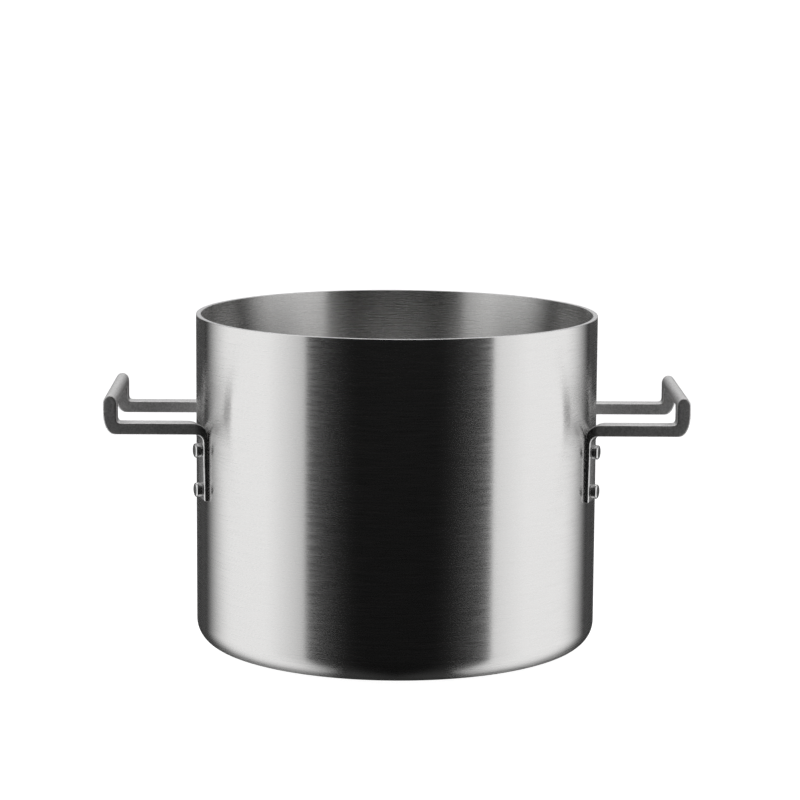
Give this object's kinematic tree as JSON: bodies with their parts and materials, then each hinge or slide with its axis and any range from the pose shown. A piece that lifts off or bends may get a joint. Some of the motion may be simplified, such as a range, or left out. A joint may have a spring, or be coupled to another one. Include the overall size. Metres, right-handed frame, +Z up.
{
  "type": "stock pot",
  "caption": "Straight-sided round stock pot in clad sheet metal, open at the top, with an upturned bar handle riveted on each side.",
  "frame": {"origin": "centre of the base, on the surface the pot stands on", "axes": "+Z up out of the mouth, +X along the line through both handles, towards the right handle"},
  "size_m": [0.353, 0.246, 0.2035],
  "materials": {
    "outer_steel": "satin, brushed round the wall",
    "core_aluminium": "plain rolled, seen only at the rim",
    "liner_steel": "satin, brushed round the wall",
    "handle_steel": "cast, fine bead-blasted",
    "rivet_steel": "polished"
  },
  "bodies": {
    "root": {"outer_shell": "outer_steel", "core_shell": "core_aluminium", "inner_liner": "liner_steel", "handle_left": "handle_steel", "handle_right": "handle_steel", "rivet_left_front_lower": "rivet_steel", "rivet_left_front_upper": "rivet_steel", "rivet_left_rear_lower": "rivet_steel", "rivet_left_rear_upper": "rivet_steel", "rivet_right_front_lower": "rivet_steel", "rivet_right_front_upper": "rivet_steel", "rivet_right_rear_lower": "rivet_steel", "rivet_right_rear_upper": "rivet_steel"}
  },
  "joints": []
}
